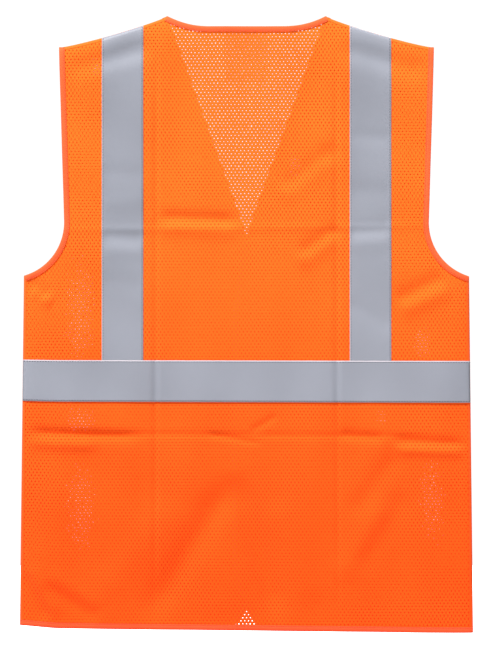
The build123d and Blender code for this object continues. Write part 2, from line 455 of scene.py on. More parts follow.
@dataclass(frozen=True)
class Drape:
    """How far each layer stands from the middle plane, in millimetres.

    A layer rises from its seams as a quarter round, to its face, and its folds ride on that.
    """

    pattern: Pattern
    back_face: float
    front_face: dict
    seam: float = 0.9
    side_roll: float = 62.0
    shoulder_roll: float = 46.0
    neck_ease: float = 50.0
    fold_rise: float = 1.2
    back_swell: float = 2.4
    front_swell: float = 2.0
    back_seed: int = 11
    front_seed: int = 23
    hem_tilt: float = 0.0115
    hem_drop: float = 0.8
    corner_from: float = 225.0
    corner_lift: float = 3.0

    def rise(self, x: Array, z: Array) -> Array:
        """0 at the side and shoulder seams and 1 away from them.

        Args:
            x: Places across, in millimetres.
            z: Places up, in millimetres.

        Returns:
            The share of the way from the seam to the face.
        """
        side = (self.pattern.side_x(z) - np.abs(x)) / self.side_roll
        shoulder = (self.pattern.shoulder_z(x) - z) / self.shoulder_roll
        inner = smooth((self.pattern.neck_half - np.abs(x)) / self.neck_ease)
        return quarter_round(side) * np.maximum(quarter_round(shoulder), inner)

    def layer(self, x: Array, z: Array, face: float, folds: tuple,
              swell: float, seed: int) -> Array:
        """The seam gap, plus the rise to the face, plus the folds where the rise allows them.

        Args:
            x: Places across, in millimetres.
            z: Places up, in millimetres.
            face: The flat layer's place off the middle plane.
            folds: The folds that lie in it.
            swell: How uneven it is.
            seed: Where the unevenness starts.

        Returns:
            Its place off the middle plane.
        """
        rise = self.rise(x, z)
        relief = waves(x, z, swell, seed)
        for fold in folds:
            relief = relief + fold.lift(x, z)
        held = np.clip(rise * self.fold_rise, 0.0, 1.0)
        return self.seam + (face - self.seam) * rise + relief * held

    def back(self, x: Array, z: Array) -> Array:
        """The back cloth's place along y."""
        return self.layer(x, z, self.back_face, BACK_FOLDS, self.back_swell, self.back_seed)

    def front(self, side: Side) -> Depth:
        """One front's place along y, as a function of x and z.

        Args:
            side: The wearer's side.

        Returns:
            The front's depth.
        """

        def depth(x: Array, z: Array) -> Array:
            """The front's layer, turned to the front."""
            face, swell = self.front_face[side], self.front_swell
            return -self.layer(x, z, face, FRONT_FOLDS, swell, self.front_seed)

        return depth

    def place(self, x: Array, y: Array, z: Array) -> Array:
        """Points in metres, with the hem hanging a little out of level and one corner lifted.

        Args:
            x: Places across, in millimetres.
            y: Places along y.
            z: Places up.

        Returns:
            x, y, z rows in metres.
        """
        share = np.clip(-z / self.pattern.length, 0.0, 1.0) ** 3
        corner = smooth((x - self.corner_from) / (self.pattern.hem_half - self.corner_from))
        level = z + share * (self.hem_tilt * x - self.hem_drop + self.corner_lift * corner)
        return np.stack([x, y, level], axis=-1).reshape(-1, 3) * MM


# ---------------------------------------------------------------- meshes


def make_piece(
    name: str,
    points: Array,
    faces: list,
    material: bpy.types.Material,
    uv: Optional[Array] = None,
) -> bpy.types.Object:
    """A mesh object at the origin.

    Args:
        name: The piece's name.
        points: x, y, z rows in metres.
        faces: Arrays of corner numbers, one array for each number of corners.
        material: Its finish.
        uv: One u, v row for each point.

    Returns:
        The object, smooth shaded.
    """
    mesh = bpy.data.meshes.new(name)
    corners = np.concatenate([f.ravel() for f in faces]).astype(np.int32)
    counts = np.concatenate([np.full(len(f), f.shape[1]) for f in faces]).astype(np.int32)
    starts = np.concatenate([[0], np.cumsum(counts)[:-1]]).astype(np.int32)
    mesh.vertices.add(len(points))
    mesh.vertices.foreach_set("co", np.ascontiguousarray(points, np.float32).ravel())
    mesh.loops.add(len(corners))
    mesh.loops.foreach_set("vertex_index", corners)
    mesh.polygons.add(len(counts))
    mesh.polygons.foreach_set("loop_start", starts)
    mesh.polygons.foreach_set("loop_total", counts)
    mesh.polygons.foreach_set("use_smooth", np.ones(len(counts), bool))
    if uv is not None:
        layer = mesh.uv_layers.new(name="UVMap")
        layer.data.foreach_set("uv", np.ascontiguousarray(uv[corners], np.float32).ravel())
    mesh.update(calc_edges=True)
    mesh.validate()
    mesh.materials.append(material)
    piece = bpy.data.objects.new(name, mesh)
    bpy.context.scene.collection.objects.link(piece)
    LOG.info("%s: %d points, %d faces", name, len(points), len(counts))
    return piece


def grid_faces(rows: int, columns: int, turned: bool = False) -> Array:
    """Four-cornered faces of a grid whose points run along columns first.

    Args:
        rows: The number of rows of points.
        columns: The number of points in a row.
        turned: True to face them the other way.

    Returns:
        One row of four corner numbers for each face.
    """
    index = np.arange(rows * columns).reshape(rows, columns)
    faces = np.stack([index[:-1, :-1], index[:-1, 1:], index[1:, 1:], index[1:, :-1]], axis=-1)
    faces = faces.reshape(-1, 4)
    return faces[:, ::-1] if turned else faces


@dataclass(frozen=True)
class Lattice:
    """The mesh cloth's holes: level rows of six-sided holes, every second row set over by half."""

    pitch: float = 4.6
    row: float = 3.75
    hole: float = 0.66
    turn: float = 0.0
    uneven: float = 0.11
    uneven_size: float = 0.8

    def nearest_hole(self, point: tuple, origin: tuple) -> tuple:
        """The centre of the hole nearest to a point, where one hole is centred at origin.

        Args:
            point: An x, z place.
            origin: Where that hole is.

        Returns:
            The centre's x and z.
        """
        cosine, sine = math.cos(self.turn), math.sin(self.turn)
        x, z = point[0] - origin[0], point[1] - origin[1]
        j = round((z * cosine - x * sine) / self.row)
        set_over = 0.5 * (j % 2)
        i = round((x * cosine + z * sine) / self.pitch - set_over)
        u, v = (i + set_over) * self.pitch, j * self.row
        return origin[0] + u * cosine - v * sine, origin[1] + u * sine + v * cosine

    def sheet(self, outline: Array, origin: tuple, drawn: Optional[Depth] = None) -> tuple:
        """The cloth between the holes, cut to an outline.

        Six points ring each hole. A strip joins each hole to its east, north-east and
        north-west neighbours, and two triangles fill each corner where three strips meet.
        Points past the outline are drawn in to it.

        Args:
            outline: The closed outline.
            origin: Where one hole is centred.
            drawn: How far the holes are drawn across, as a function of x and z.

        Returns:
            x, z rows, a list of face arrays facing the back, and u, v rows in knitted metres.
        """
        cosine, sine = math.cos(self.turn), math.sin(self.turn)
        reach = np.linalg.norm(np.ptp(outline, axis=0)) / 2 + 2 * self.pitch
        middle = (outline.min(axis=0) + outline.max(axis=0)) / 2 - origin
        shift = np.array([middle @ [cosine, sine], middle @ [-sine, cosine]])
        first = (int(shift[0] // self.pitch), 2 * int(shift[1] // (2 * self.row)))
        half = (int(reach / self.pitch) + 1, 2 * (int(reach / self.row) // 2 + 1))
        i = np.arange(first[0] - half[0], first[0] + half[0] + 1)
        j = np.arange(first[1] - half[1], first[1] + half[1] + 1)
        u = i[None, :] * self.pitch + (j[:, None] % 2) * self.pitch / 2
        v = np.broadcast_to(j[:, None] * self.row, u.shape)
        stray = np.random.default_rng(len(outline)).normal(0.0, self.uneven, (2, *u.shape))
        size = self.hole * (1.0 + self.uneven_size * stray[0][..., None])
        u, v = u + stray[0], v + stray[1]
        angle = np.radians(30.0 + 60.0 * np.arange(6))
        ring_u = u[..., None] + size * np.cos(angle)
        ring_v = v[..., None] + size * np.sin(angle)
        x = (ring_u * cosine - ring_v * sine + origin[0]).ravel()
        z = (ring_u * sine + ring_v * cosine + origin[1]).ravel()
        if drawn is not None:
            x = x + drawn(x, z)
        corner = np.arange(x.size).reshape(len(j), len(i), 6)
        quads, triangles = self._between(corner, j)
        flat, faces = self._cut(np.stack([x, z], axis=1), quads, triangles, outline)
        return flat, faces, self._knitted(flat, origin, drawn)

    def _knitted(self, flat: Array, origin: tuple, drawn: Optional[Depth]) -> Array:
        """Where places lie in the cloth as it was knitted, before it was drawn or widened.

        Args:
            flat: x, z rows.
            origin: Where one hole is centred.
            drawn: How far the holes are drawn across.

        Returns:
            u, v rows in metres, with a hole at 0, 0.
        """
        cosine, sine = math.cos(self.turn), math.sin(self.turn)
        x, z = flat[:, 0] - origin[0], flat[:, 1] - origin[1]
        if drawn is not None:
            x = x - drawn(flat[:, 0], flat[:, 1])
        knit = Lattice()
        u = (x * cosine + z * sine) * knit.pitch / self.pitch
        v = (z * cosine - x * sine) * knit.row / self.row
        return np.stack([u, v], axis=1) * MM

    @staticmethod
    def _between(corner: Array, j: Array) -> tuple:
        """The strips and corner triangles between holes, for the even and the odd rows.

        Args:
            corner: The ring's point numbers, by row, hole and place round the hole.
            j: The rows' numbers.

        Returns:
            An array of quads and an array of triangles.
        """
        quads, triangles = [], []
        for odd in (0, 1):
            rows = np.nonzero(j % 2 == odd)[0]
            rows = rows[rows < len(j) - 1]
            here = corner[rows, 1:-1]
            east = corner[rows, 2:]
            above = corner[rows + 1]
            north_east = above[:, 2:] if odd else above[:, 1:-1]
            north_west = above[:, 1:-1] if odd else above[:, :-2]
            for a, b, ends in (
                (here, east, (5, 3, 2, 0)),
                (here, north_east, (0, 4, 3, 1)),
                (here, north_west, (1, 5, 4, 2)),
            ):
                strip = [a[..., ends[0]], b[..., ends[1]], b[..., ends[2]], a[..., ends[3]]]
                quads.append(np.stack(strip, axis=-1).reshape(-1, 4))
            for knot in (
                [here[..., 0], east[..., 2], north_east[..., 4]],
                [here[..., 1], north_east[..., 3], north_west[..., 5]],
            ):
                triangles.append(np.stack(knot, axis=-1).reshape(-1, 3))
        return np.concatenate(quads), np.concatenate(triangles)

    @staticmethod
    def _cut(points: Array, quads: Array, triangles: Array, outline: Array) -> tuple:
        """Keep the faces that reach inside an outline, and draw their outer points in to it.

        Args:
            points: x, z rows.
            quads: Faces of four corners.
            triangles: Faces of three corners.
            outline: The closed outline.

        Returns:
            The points that are used, and a list of face arrays.
        """
        near = np.all((points > outline.min(axis=0)) & (points < outline.max(axis=0)), axis=1)
        held = np.zeros(len(points), bool)
        held[near] = inside(points[near], outline)
        faces = [f[held[f].any(axis=1)][:, ::-1] for f in (quads, triangles)]
        used = np.unique(np.concatenate([f.ravel() for f in faces]))
        renumber = np.full(len(points), -1)
        renumber[used] = np.arange(len(used))
        kept, loose = points[used], ~held[used]
        kept[loose] = nearest(kept[loose], outline)
        return kept, [renumber[f] for f in faces]


def heading(path: Array) -> Array:
    """Unit directions along a path, by the gap between each point's neighbours."""
    run = np.gradient(path, axis=0)
    return run / np.maximum(np.linalg.norm(run, axis=1, keepdims=True), 1e-9)


def inward(path: Array, hand: int) -> Array:
    """Unit normals of a path towards the cloth, on its right for hand 1 and left for -1."""
    t = heading(path)
    return np.stack([t[:, 1], -t[:, 0]], axis=1) * hand


def path_length(path: Array) -> Array:
    """The distance along a path to each of its points."""
    return np.concatenate([[0.0], np.cumsum(np.linalg.norm(np.diff(path, axis=0), axis=1))])


def strip_uv(u: Array, v: Array) -> Array:
    """One u, v row for each point of a grid, with u running across it and v down it."""
    return np.stack(np.meshgrid(u, v), axis=-1).reshape(-1, 2)


@dataclass(frozen=True)
class Trim:
    """A strip folded over an edge. Its section runs in from the back, round the fold and out."""

    width: float
    wall: float
    groove: float
    nose: float
    pucker: float
    pucker_pitch: float = 7.0
    pucker_drift: float = 31.0

    def section(self) -> tuple:
        """The section's distance in from the edge, and its height off the cloth.

        Returns:
            The distances in, and the heights.
        """
        w, h = self.width, self.wall
        row = self.groove
        reach = [w, w * 0.97, row + 0.7, row, row - 0.7, w * 0.45, w * 0.18, w * 0.03, -self.nose]
        rise = [0.35, 0.9, 0.96, 0.70, 0.98, 1.05, 1.0, 0.62, 0.0]
        reach = np.array(reach + reach[-2::-1])
        rise = h * np.array(rise + [-r for r in rise[-2::-1]])
        return reach, rise

    def along(self, path: Array, hand: int, depth: Depth, drape: Drape, seed: int) -> tuple:
        """Carry the section along an edge, square to it.

        A point is the edge's point, plus the inward normal times the distance in, and stands
        at the cloth's depth plus the section's height, which swells and shrinks along the run.

        Args:
            path: The edge, as x, z rows.
            hand: 1 where the cloth is on the right of the path, seen from the front, else -1.
            depth: The cloth's place along y.
            drape: What puts points in place.
            seed: Where the puckers start.

        Returns:
            Points in metres, faces, and u, v rows.
        """
        reach, rise = self.section()
        s = path_length(path)
        start = np.random.default_rng(seed).uniform(0, 6)
        drift = np.sin(s / self.pucker_drift + start)
        swell = np.sin(2 * np.pi * s / self.pucker_pitch + start + drift)
        p = path[:, None] + inward(path, hand)[:, None] * reach[None, :, None]
        y = depth(p[..., 0], p[..., 1]) + rise * (1.0 + self.pucker * swell[:, None])
        points = drape.place(p[..., 0], y, p[..., 1])
        uv = strip_uv(np.linspace(0, 1, len(reach)), s * MM)
        return points, grid_faces(len(path), len(reach), turned=hand < 0), uv

    def stitch_line(self, path: Array, hand: int) -> Array:
        """The path of the stitches, in the groove near the strip's inner edge."""
        return path + inward(path, hand) * self.groove


@dataclass(frozen=True)
class SeamRoll:
    """The rolled edge where the back and a front are sewn together, round both layers."""

    width: float = 3.2
    cover: float = 0.3
    nose: float = 0.5
    tightness: float = 1.6
    columns: int = 11
    uv_width: float = 0.01

    def along(self, path: Array, hand: int, back: Depth, front: Depth, drape: Drape) -> tuple:
        """Carry a half-round section along a seam, from the back's face to the front's.

        Over the section's first half a point stands on the back and over its last half on the
        front, and the two meet halfway at the fold.

        Args:
            path: The seam, as x, z rows.
            hand: 1 where the cloth is on the right of the path, seen from the front, else -1.
            back: The back's place along y.
            front: The front's place along y.
            drape: What puts points in place.

        Returns:
            Points in metres, faces, and u, v rows.
        """
        share = np.linspace(-1.0, 1.0, self.columns)
        from_fold = np.abs(share)
        reach = self.width * from_fold**self.tightness - self.nose * (1.0 - from_fold)
        p = path[:, None] + inward(path, hand)[:, None] * reach[None, :, None]
        x, z = p[..., 0], p[..., 1]
        side_y = np.where(share < 0, back(x, z) + self.cover, front(x, z) - self.cover)
        y = side_y * quarter_round(from_fold)
        points = drape.place(x, y, z)
        uv = strip_uv(np.linspace(0, 1, len(share)) * self.uv_width, path_length(path) * MM)
        return points, grid_faces(len(path), len(share), turned=hand < 0), uv


@dataclass(frozen=True)
class Stitching:
    """A row of lockstitches: each a short rounded bar, worked out from one template."""

    pitch: float = 3.3
    length: float = 2.5
    half_width: float = 0.3
    half_height: float = 0.24
    shoulder: float = 0.62
    sides: int = 6

    def rows(self, paths: Sequence[Array], depth: Depth, lift: float, drape: Drape) -> tuple:
        """Bars along each path, one a pitch.

        A bar has two end points and two rings. A ring's point stands off the bar's middle line
        by the half width times a cosine sideways and the half height times a sine along y.

        Args:
            paths: The rows, as x, z rows.
            depth: The place along y of what is sewn.
            lift: How far the middle line stands off it, along y.
            drape: What puts points in place.

        Returns:
            Points in metres, and faces.
        """
        centres, headings = [], []
        for path in paths:
            s = path_length(path)
            at = np.arange(self.pitch / 2, s[-1], self.pitch)
            t = heading(path)
            centres.append(np.stack([np.interp(at, s, path[:, k]) for k in (0, 1)], axis=1))
            headings.append(np.stack([np.interp(at, s, t[:, k]) for k in (0, 1)], axis=1))
        c, t = np.concatenate(centres), np.concatenate(headings)
        ring = 2 * np.pi * np.arange(self.sides) / self.sides
        ends = np.full(self.sides, self.shoulder)
        along = np.concatenate([[-1.0], -ends, ends, [1.0]])
        across = np.concatenate([[0.0], np.cos(ring), np.cos(ring), [0.0]]) * self.half_width
        upward = np.concatenate([[0.0], np.sin(ring), np.sin(ring), [0.0]]) * self.half_height
        along = along * self.length / 2
        x = c[:, :1] + t[:, :1] * along + t[:, 1:] * across
        z = c[:, 1:] + t[:, 1:] * along - t[:, :1] * across
        y = depth(x, z) + lift + upward
        return drape.place(x, y, z), self._faces(len(c))

    def _faces(self, count: int) -> list:
        """The triangles at the ends and the quads between the rings, for every bar.

        Args:
            count: How many bars there are.

        Returns:
            A list of face arrays.
        """
        k = np.arange(self.sides)
        nxt = (k + 1) % self.sides
        last = 2 * self.sides + 1
        low, high = 1 + k, 1 + self.sides + k
        ends = [np.stack([np.zeros_like(k), 1 + nxt, low], axis=1)]
        ends.append(np.stack([np.full_like(k, last), high, 1 + self.sides + nxt], axis=1))
        sides = np.stack([low, 1 + nxt, 1 + self.sides + nxt, high], axis=1)
        start = (np.arange(count) * (last + 1))[:, None, None]
        return [(np.concatenate(ends) + start).reshape(-1, 3), (sides + start).reshape(-1, 4)]


def merged(parts: Sequence[tuple]) -> tuple:
    """Several pieces' points, face arrays and optional u, v rows as one set.

    Args:
        parts: Each piece's points, faces and, where it has them, u, v rows.

    Returns:
        Points, a list of face arrays, and u, v rows or None.
    """
    points, faces, uvs, start = [], [], [], 0
    for part in parts:
        found = part[1] if isinstance(part[1], list) else [part[1]]
        faces.extend(f + start for f in found)
        points.append(part[0])
        uvs.extend(part[2:])
        start += len(part[0])
    return np.concatenate(points), faces, np.concatenate(uvs) if uvs else None


# ---------------------------------------------------------------- finishes


class Recipe:
    """A node tree in the making, for a material or a group."""

    def __init__(self, tree: bpy.types.NodeTree) -> None:
        """Start from an empty tree."""
        self.tree = tree
        tree.nodes.clear()

    def node(self, kind: str, inputs: Optional[dict] = None, **settings: object) -> bpy.types.Node:
        """Add a node.

        Args:
            kind: The node's type.
            inputs: What each named or numbered input is set or linked to.
            settings: The node's own settings.

        Returns:
            The node.
        """
        made = self.tree.nodes.new(kind)
        for key, value in settings.items():
            setattr(made, key, value)
        for key, value in (inputs or {}).items():
            if isinstance(value, bpy.types.NodeSocket):
                self.tree.links.new(value, made.inputs[key])
            else:
                made.inputs[key].default_value = value
        return made

    def maths(self, operation: str, *values: object) -> bpy.types.NodeSocket:
        """One sum on numbers or sockets, and its result."""
        return self.node("ShaderNodeMath", dict(enumerate(values)), operation=operation).outputs[0]

    def blend(self, factor: object, a: object, b: object, way: str = "MIX") -> bpy.types.NodeSocket:
        """A mix of two colours, and its result."""
        inputs = {0: factor, 6: a, 7: b}
        return self.node("ShaderNodeMix", inputs, data_type="RGBA", blend_type=way).outputs[2]

    def dyed(self, factor: object, dye: object, tone: tuple) -> bpy.types.NodeSocket:
        """A painted shade: a dye multiplied by a tone as far as the factor says."""
        return self.blend(factor, dye, self.blend(1.0, dye, (*tone, 1), "MULTIPLY"))


def group(name: str, inputs: dict, outputs: Sequence[str]) -> tuple:
    """A new shader group with number and vector inputs and number outputs.

    Args:
        name: The group's name.
        inputs: Each input's name, and None for a vector or a number's first value.
        outputs: The outputs' names.

    Returns:
        The group, its recipe, its input node and its output node.
    """
    tree = bpy.data.node_groups.new(name, "ShaderNodeTree")
    for key, value in inputs.items():
        kind = "NodeSocketVector" if value is None else "NodeSocketFloat"
        socket = tree.interface.new_socket(name=key, in_out="INPUT", socket_type=kind)
        if value is not None:
            socket.default_value = value
    for key in outputs:
        tree.interface.new_socket(name=key, in_out="OUTPUT", socket_type="NodeSocketFloat")
    recipe = Recipe(tree)
    return tree, recipe, recipe.node("NodeGroupInput"), recipe.node("NodeGroupOutput")


def mottle_group() -> bpy.types.NodeTree:
    """Uneven dye and handling marks: two sizes of noise, drawn towards a half by Amount.

    Returns:
        The group, which puts out a mask.
    """
    finer_by, broad_share, fine_share = 9.0, 0.7, 0.3
    inputs = {"Vector": None, "Scale": 8.0, "Amount": 0.5}
    tree, recipe, start, end = group("mottle", inputs, ("Mask",))
    at = {"Vector": start.outputs["Vector"], "Scale": start.outputs["Scale"], "Detail": 3.0}
    broad = recipe.node("ShaderNodeTexNoise", at).outputs[0]
    finer = recipe.maths("MULTIPLY", start.outputs["Scale"], finer_by)
    at = {"Vector": start.outputs["Vector"], "Scale": finer, "Detail": 2.0}
    fine = recipe.node("ShaderNodeTexNoise", at).outputs[0]
    broad, fine = (recipe.maths("MULTIPLY", noise, share)
                   for noise, share in ((broad, broad_share), (fine, fine_share)))
    both = recipe.maths("ADD", broad, fine)
    off = recipe.maths("MULTIPLY", recipe.maths("SUBTRACT", both, 0.5), start.outputs["Amount"])
    mask = recipe.node("ShaderNodeClamp", {0: recipe.maths("ADD", off, 0.5)})
    tree.links.new(mask.outputs[0], end.inputs["Mask"])
    return tree


def weave_group() -> bpy.types.NodeTree:
    """Crossed threads: a wave across times Warp waves a metre, and one along times Weft.

    Returns:
        The group, which puts out a height and a painted shade, darker between threads.
    """
    inputs = {"Vector": None, "Warp": 900.0, "Weft": 900.0, "Slant": 0.0}
    tree, recipe, start, end = group("weave", inputs, ("Height", "Shade"))
    split = recipe.node("ShaderNodeSeparateXYZ", {0: start.outputs["Vector"]})
    leaning = recipe.maths("MULTIPLY", split.outputs[1], start.outputs["Slant"])
    across = recipe.maths("ADD", split.outputs[0], leaning)
    heights = []
    for place, rate in ((across, "Warp"), (split.outputs[1], "Weft")):
        count = recipe.maths("MULTIPLY", place, start.outputs[rate])
        heights.append(recipe.maths("SINE", recipe.maths("MULTIPLY", count, FULL_TURN)))
    total = recipe.maths("ADD", recipe.maths("MULTIPLY", heights[0], 0.25), 0.5)
    total = recipe.maths("ADD", total, recipe.maths("MULTIPLY", heights[1], 0.25))
    shade = recipe.maths("ADD", recipe.maths("MULTIPLY", total, 0.2), 0.9)
    tree.links.new(total, end.inputs["Height"])
    tree.links.new(shade, end.inputs["Shade"])
    return tree


def edge_group() -> bpy.types.NodeTree:
    """How near the sides of a strip a place is: 1 on both edges, falling to 0 over Width of u.

    Returns:
        The group, which puts out a mask.
    """
    tree, recipe, start, end = group("edge_band", {"Vector": None, "Width": 0.03}, ("Mask",))
    split = recipe.node("ShaderNodeSeparateXYZ", {0: start.outputs["Vector"]})
    off = recipe.maths("ABSOLUTE", recipe.maths("SUBTRACT", split.outputs[0], 0.5))
    gap = recipe.maths("DIVIDE", recipe.maths("SUBTRACT", 0.5, off), start.outputs["Width"])
    mask = recipe.node("ShaderNodeClamp", {0: recipe.maths("SUBTRACT", 1.0, gap)})
    tree.links.new(mask.outputs[0], end.inputs["Mask"])
    return tree


def rims_group() -> bpy.types.NodeTree:
    """Painted shade in the dip round each hole: a cosine across times one along is 1 at its middle.

    Returns:
        The group, which puts out a mask.
    """
    inputs = {"Vector": None, "Pitch": 0.0046, "Row": 0.00375, "From": 0.30, "Over": 0.40}
    tree, recipe, start, end = group("hole_rims", inputs, ("Mask",))
    split = recipe.node("ShaderNodeSeparateXYZ", {0: start.outputs["Vector"]})
    cosines = []
    for place, gap, turn in ((0, "Pitch", FULL_TURN), (1, "Row", math.pi)):
        turns = recipe.maths("DIVIDE", split.outputs[place], start.outputs[gap])
        cosines.append(recipe.maths("COSINE", recipe.maths("MULTIPLY", turns, turn)))
    above = recipe.maths("SUBTRACT", recipe.maths("MULTIPLY", *cosines), start.outputs["From"])
    level = recipe.maths("DIVIDE", above, start.outputs["Over"])
    mask = recipe.node("ShaderNodeClamp", {0: level})
    tree.links.new(mask.outputs[0], end.inputs["Mask"])
    return tree


def shared(name: str) -> bpy.types.NodeTree:
    """One of the shared groups, built the first time that it is asked for.

    Args:
        name: The group's name.

    Returns:
        The group.
    """
    makers = {
        "mottle": mottle_group,
        "weave": weave_group,
        "edge_band": edge_group,
        "hole_rims": rims_group,
    }
    return bpy.data.node_groups.get(name) or makers[name]()


# How patchy the painted rim shade is: a scale and offset of the mottle, then its least and most
RIM_SHADE_PATCHES = (4.5, -1.45)
RIM_SHADE_LEAST = 0.15
RIM_SHADE_MOST = 1.25


@dataclass(frozen=True)
class Cloth:
    """A woven or knitted finish, from its two dye tones, its threads and its sheen.

    The threads are warp waves a metre across and weft along, and u_scale is the width in metres
    of one step of u. Painted shade is multiplied into the dye: by low between the heights low_from
    and low_to, so the cloth darkens towards the hem where less light falls; by inside on the inner
    face, which lies in shade; and by a rim tone round the holes, to the share of the rim shade.
    The glow is painted light: on the orange cloths partly the fluorescent dye's brightness and
    partly a lift in the shade, and on the label a lift alone.
    """

    name: str
    tone: tuple
    deep: tuple
    warp: float = 900.0
    weft: float = 900.0
    slant: float = 0.0
    relief: float = 0.00012
    roughness: float = 0.8
    sheen: float = 0.15
    specular: float = 0.25
    mottle: float = 0.9
    mottle_scale: float = 7.0
    # Painted glow: light the cloth gives of itself, though it is no lamp
    glow: float = 0.0
    glow_tone: Optional[tuple] = None
    through: float = 0.0
    edge: Optional[tuple] = None
    edge_width: float = 0.03
    u_scale: float = 1.0
    # Painted shade: the tone that the cloth darkens to towards the hem, where less light falls
    low: Optional[tuple] = None
    low_from: float = -0.12
    low_to: float = -0.72
    # Painted shade on the inner face
    inside: Optional[tuple] = None
    # Painted shade round the holes' rims: its share, then its tone
    rims: float = 0.0
    rim_tone: tuple = (0.60, 0.26, 0.28)

    def material(self) -> bpy.types.Material:
        """Build the finish.

        The dye shifts between the two tones with the mottle and takes a painted shade between
        threads and, as each finish asks, towards the hem, round the holes and on the inner face.
        A share of the light passes through a thin cloth, and a fluorescent one has a painted glow.

        Returns:
            The material.
        """
        made = bpy.data.materials.new(self.name)
        made.use_nodes = True
        recipe = Recipe(made.node_tree)
        uv = recipe.node("ShaderNodeUVMap", uv_map="UVMap").outputs[0]
        place = recipe.node("ShaderNodeTexCoord").outputs["Object"]
        stretched = {0: uv, 1: (self.u_scale, 1.0, 1.0)}
        flat = recipe.node("ShaderNodeVectorMath", stretched, operation="MULTIPLY").outputs[0]
        inputs = {"Vector": place, "Scale": self.mottle_scale, "Amount": self.mottle}
        mottle = recipe.node("ShaderNodeGroup", inputs, node_tree=shared("mottle"))
        inputs = {"Vector": flat, "Warp": self.warp, "Weft": self.weft, "Slant": self.slant}
        weave = recipe.node("ShaderNodeGroup", inputs, node_tree=shared("weave"))
        dye = recipe.blend(mottle.outputs["Mask"], (*self.deep, 1), (*self.tone, 1))
        # Painted shade: darker towards the hem between two heights, where less light falls
        if self.low is not None:
            height = recipe.node("ShaderNodeSeparateXYZ", {0: place}).outputs[2]
            inputs = {0: height, 1: self.low_from, 2: self.low_to}
            sunk = recipe.node("ShaderNodeMapRange", inputs, interpolation_type="SMOOTHSTEP")
            dye = recipe.dyed(sunk.outputs[0], dye, self.low)
        # Painted shade round each hole's rim, patchy with the mottle
        if self.rims:
            mask = recipe.node("ShaderNodeGroup", {"Vector": uv}, node_tree=shared("hole_rims"))
            level = recipe.maths("MULTIPLY_ADD", mottle.outputs["Mask"], *RIM_SHADE_PATCHES)
            patchy = recipe.node("ShaderNodeClamp", {0: level, 1: RIM_SHADE_LEAST, 2: RIM_SHADE_MOST})
            depth = recipe.maths("MULTIPLY", patchy.outputs[0], self.rims)
            share = recipe.maths("MULTIPLY", mask.outputs["Mask"], depth)
            dye = recipe.dyed(share, dye, self.rim_tone)
        # Painted shade on the inner face, which lies in shade between the layers
        if self.inside is not None:
            turned = recipe.node("ShaderNodeNewGeometry").outputs["Backfacing"]
            dye = recipe.dyed(turned, dye, self.inside)
        if self.edge is not None:
            inputs = {"Vector": uv, "Width": self.edge_width}
            band = recipe.node("ShaderNodeGroup", inputs, node_tree=shared("edge_band"))
            dye = recipe.blend(band.outputs["Mask"], dye, (*self.edge, 1))
        # Painted shade: the colour darkens between the threads
        shade = recipe.node("ShaderNodeCombineColor", {k: weave.outputs["Shade"] for k in range(3)})
        colour = recipe.blend(1.0, dye, shade.outputs[0], "MULTIPLY")
        bump_inputs = {"Strength": 1.0, "Distance": self.relief, "Height": weave.outputs["Height"]}
        bump = recipe.node("ShaderNodeBump", bump_inputs).outputs[0]
        surface = recipe.node("ShaderNodeBsdfPrincipled", {
            "Base Color": colour,
            "Roughness": self.roughness,
            "Specular IOR Level": self.specular,
            "Sheen Weight": self.sheen,
            # Painted glow: partly the fluorescent dye's brightness, partly a lift in the shade
            "Emission Color": (*(self.glow_tone or self.tone), 1),
            "Emission Strength": self.glow,
            "Normal": bump,
        }).outputs[0]
        if self.through:
            back_light = recipe.node("ShaderNodeBsdfTranslucent", {0: colour, 1: bump}).outputs[0]
            inputs = {0: self.through, 1: surface, 2: back_light}
            surface = recipe.node("ShaderNodeMixShader", inputs).outputs[0]
        recipe.node("ShaderNodeOutputMaterial", {0: surface})
        return made


# Below, the low, inside and rim tones are painted shade and the glow is painted light
MESH_CLOTH = Cloth(
    "orange_mesh", (0.98, 0.226, 0.019), (0.96, 0.190, 0.014), warp=1100.0, weft=533.3,
    relief=0.00030, roughness=0.85, sheen=0.06, specular=0.15, glow=0.22,
    glow_tone=(1.0, 0.035, 0.0), through=0.07, low=(0.98, 0.49, 0.27), rims=0.75,
)
# The fronts' inner face takes a painted shade
FRONT_MESH_CLOTH = replace(MESH_CLOTH, name="orange_front_mesh", inside=(0.84, 0.50, 0.50))
BINDING_CLOTH = Cloth(
    "edge_binding_cloth", (0.98, 0.165, 0.046), (0.95, 0.140, 0.036), warp=1500.0, weft=1300.0,
    slant=0.8, relief=0.00014, roughness=0.8, specular=0.2, glow=0.18,
    glow_tone=(1.0, 0.05, 0.008), through=0.08, u_scale=0.013, low=(0.98, 0.62, 0.60),
)
TAPE_CLOTH = Cloth(
    "reflective_tape_face", (0.330, 0.342, 0.396), (0.300, 0.312, 0.364), warp=2200.0, weft=2200.0,
    relief=0.00003, roughness=0.5, sheen=0.0, specular=0.40, mottle=0.8, mottle_scale=11.0,
    edge=(0.56, 0.48, 0.50), edge_width=0.028, u_scale=0.0508,
)
SEAM_CLOTH = Cloth(
    "seam_roll_cloth", (0.98, 0.210, 0.020), (0.94, 0.175, 0.015), warp=900.0, weft=700.0,
    relief=0.00020, roughness=0.85, specular=0.15, glow=0.20, glow_tone=(1.0, 0.035, 0.0),
    through=0.12, low=(0.98, 0.50, 0.30),
)
ORANGE_THREAD = Cloth(
    "orange_thread", (0.76, 0.070, 0.014), (0.62, 0.048, 0.010), warp=2600.0, weft=2600.0,
    relief=0.00005, roughness=0.6, glow=0.03, low=(0.95, 0.60, 0.60),
)
GREY_THREAD = Cloth(
    "grey_thread", (0.11, 0.11, 0.14), (0.08, 0.08, 0.10), warp=2600.0, weft=2600.0,
    relief=0.00005, roughness=0.6,
)
